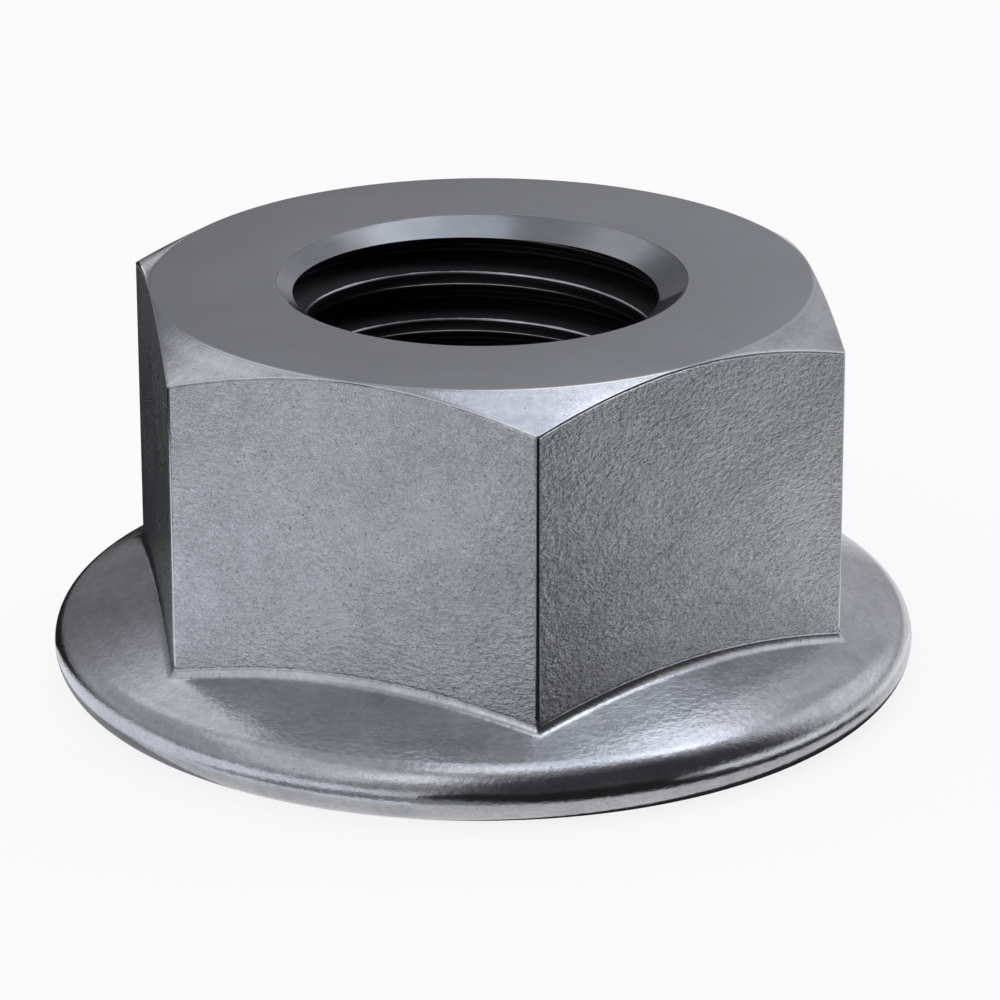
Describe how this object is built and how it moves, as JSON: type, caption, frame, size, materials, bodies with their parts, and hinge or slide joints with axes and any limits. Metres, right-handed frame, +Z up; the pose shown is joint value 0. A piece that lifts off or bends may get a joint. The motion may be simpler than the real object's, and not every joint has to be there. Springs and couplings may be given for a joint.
{
  "type": "serrated flange nut",
  "caption": "Hexagon nut with a conical round-rimmed flange, ratchet serrations under the flange and a fine-pitch thread, in plain steel.",
  "frame": {"origin": "centre of the bearing face, on the thread axis, at the bottom of the part", "axes": "+Z up along the thread axis, from the flange to the hexagon; two opposite hexagon corners point along +Y and -Y"},
  "size_m": [0.0172, 0.0172, 0.008],
  "materials": {
    "steel": "plain hardened steel, satin with a fine grain, the countersink turned bright"
  },
  "bodies": {
    "root": {"flange_nut": "steel"}
  },
  "joints": []
}
